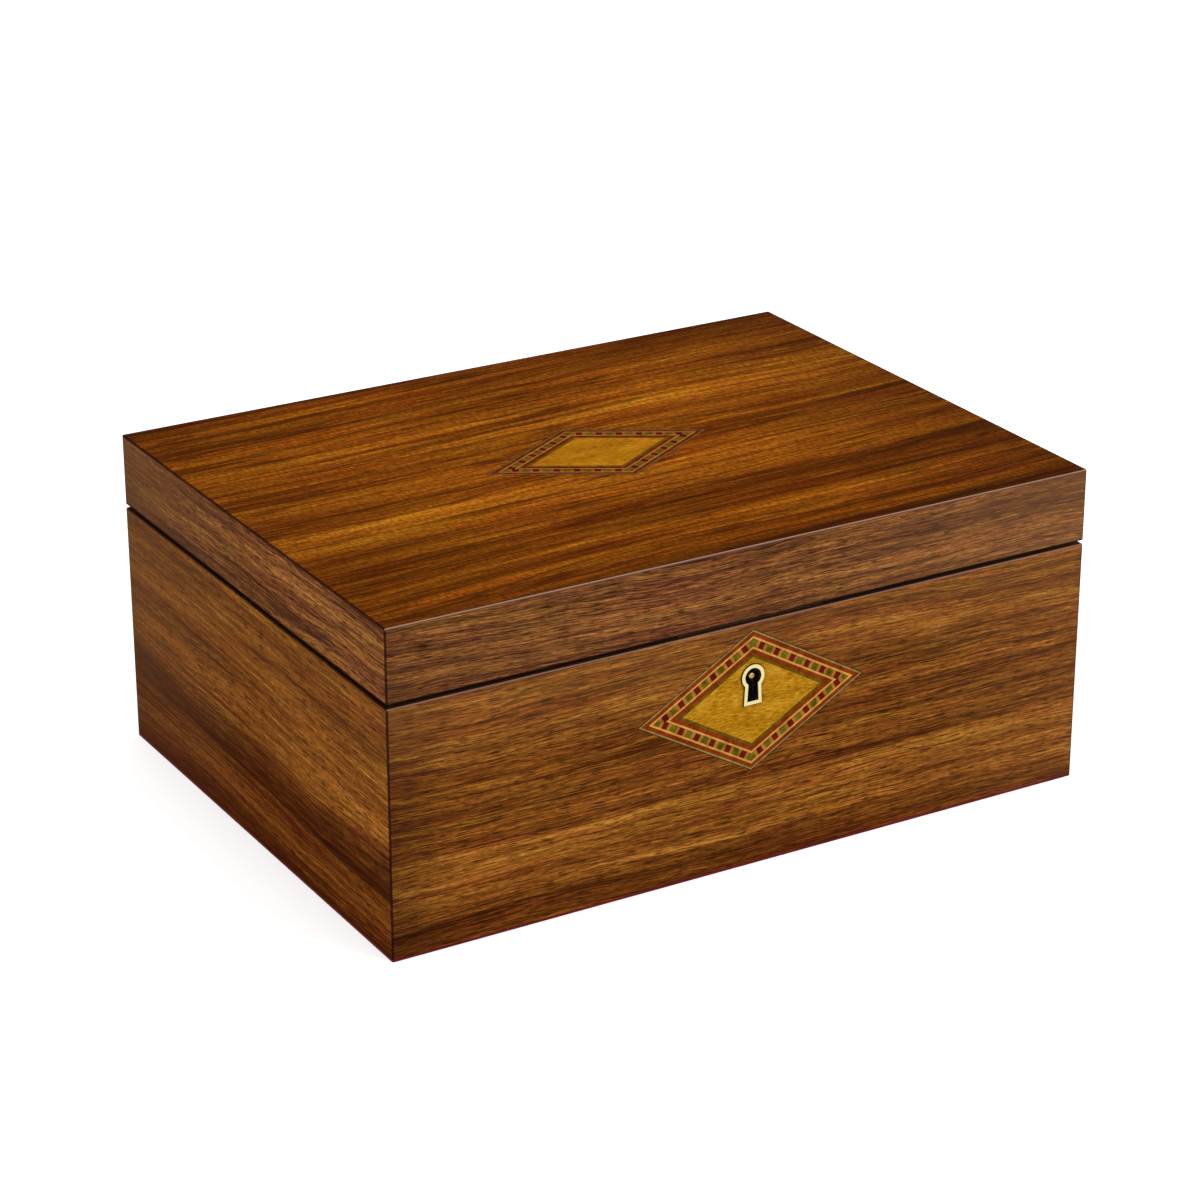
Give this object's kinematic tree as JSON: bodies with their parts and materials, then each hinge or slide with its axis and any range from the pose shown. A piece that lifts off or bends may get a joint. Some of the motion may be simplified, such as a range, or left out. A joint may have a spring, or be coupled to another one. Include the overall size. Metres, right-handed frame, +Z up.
{
  "type": "musical jewelry box",
  "caption": "Rectangular veneered keepsake box with a hinged lid, diamond inlays, a lock, a lined interior and a clockwork musical movement.",
  "frame": {"origin": "middle of the base's rectangle, on the table plane under the felt", "axes": "+X to the right along the front, +Y from the front to the hinged back, +Z up"},
  "size_m": [0.26, 0.1953, 0.1115],
  "materials": {
    "walnut": "satin lacquered veneer with straight dark-streaked grain",
    "plain_wood": "bare plain wood core",
    "banding_wood": "coloured wood strips under satin lacquer",
    "gold_wood": "golden figured veneer under satin lacquer",
    "brass": "polished brass",
    "steel": "bright steel",
    "felt": "burgundy felt",
    "velvet": "burgundy velvet",
    "mirror": "silvered glass",
    "clear_plastic": "clear acrylic sheet"
  },
  "bodies": {
    "case": {"left_panel": "walnut", "right_panel": "walnut", "front_panel": "walnut", "back_panel": "walnut", "floor_board": "plain_wood", "cover_ledges": "plain_wood", "front_inlay_banding": "banding_wood", "front_inlay_field": "gold_wood", "keyhole_escutcheon": "brass", "lock_case": "brass", "lock_cover": "brass", "lock_key_pin": "brass", "hinge_case_leaves": "brass", "hinge_pins": "brass", "case_screws": "brass", "movement_bedplate": "brass", "cylinder_bridge": "brass", "spring_housing": "brass", "governor_frame": "brass", "comb": "steel", "comb_screws": "steel", "movement_screws": "steel", "mainspring": "steel", "felt_base": "felt", "side_liners": "velvet", "back_liner": "velvet", "front_liner": "velvet", "main_divider": "velvet", "movement_divider": "velvet", "ring_divider": "velvet", "short_divider": "velvet", "floor_pads": "velvet", "ring_bed": "velvet", "ring_rolls": "velvet", "movement_cover": "clear_plastic"},
    "lid": {"lid_left_rail": "walnut", "lid_right_rail": "walnut", "lid_front_rail": "walnut", "lid_back_rail": "walnut", "lid_veneer": "walnut", "lid_panel": "plain_wood", "lid_inlay_banding": "banding_wood", "lid_inlay_field": "gold_wood", "lid_strike": "brass", "hinge_lid_leaves": "brass", "lid_screws": "brass", "lid_lining": "velvet", "lid_mirror": "mirror"},
    "bolt": {"lock_bolt": "brass"},
    "governor": {"governor_wheel": "brass"},
    "cylinder": {"cylinder": "brass", "cylinder_arbor": "steel"},
    "great_wheel": {"great_wheel": "brass"},
    "fan": {"fan": "brass", "fan_shaft": "steel"},
    "winding": {"winding_arbor": "steel", "winding_key": "brass"},
    "stop_lever": {"stop_lever": "steel"},
    "stop_rod": {"stop_rod": "steel"}
  },
  "joints": [
    {"name": "lid_hinge", "type": "hinge", "parent": "case", "child": "lid", "pos_m": [0, 0.096, 0.08575], "axis": [-1, 0, 0], "range_deg": [0, 97]},
    {"name": "bolt_slide", "type": "slide", "parent": "case", "child": "bolt", "axis": [1, 0, 0], "range_m": [0, 0.004]},
    {"name": "governor_spin", "type": "hinge", "parent": "case", "child": "governor", "pos_m": [0.0849, 0.0675, 0.0208], "axis": [1, 0, 0], "continuous": true},
    {"name": "cylinder_spin", "type": "hinge", "parent": "case", "child": "cylinder", "pos_m": [0.0849, 0.0595, 0.0268], "axis": [1, 0, 0], "continuous": true},
    {"name": "great_wheel_spin", "type": "hinge", "parent": "case", "child": "great_wheel", "pos_m": [0.0679, 0.0595, 0.0098], "axis": [0, 0, 1], "continuous": true},
    {"name": "fan_spin", "type": "hinge", "parent": "case", "child": "fan", "pos_m": [0.1085, 0.07487, 0.0098], "axis": [0, 0, 1], "continuous": true},
    {"name": "key_wind", "type": "hinge", "parent": "great_wheel", "child": "winding", "pos_m": [0.0679, 0.0595, 0], "axis": [0, 0, 1], "continuous": true},
    {"name": "stop_lever_swing", "type": "hinge", "parent": "case", "child": "stop_lever", "pos_m": [0.0849, 0.07758, 0.0168], "axis": [-1, 0, 0], "range_deg": [0, 17.17]},
    {"name": "stop_rod_slide", "type": "slide", "parent": "case", "child": "stop_rod", "axis": [0, 0, 1], "range_m": [0, 0.004]}
  ],
  "couplings": [
    {"joint": "cylinder_spin", "follows": "governor_spin", "ratio": -0.25},
    {"joint": "great_wheel_spin", "follows": "governor_spin", "ratio": -0.0625},
    {"joint": "fan_spin", "follows": "governor_spin", "ratio": -30},
    {"joint": "stop_lever_swing", "follows": "lid_hinge", "ratio": 0.1769},
    {"joint": "stop_rod_slide", "follows": "lid_hinge", "m_per_rad": 0.002362}
  ]
}
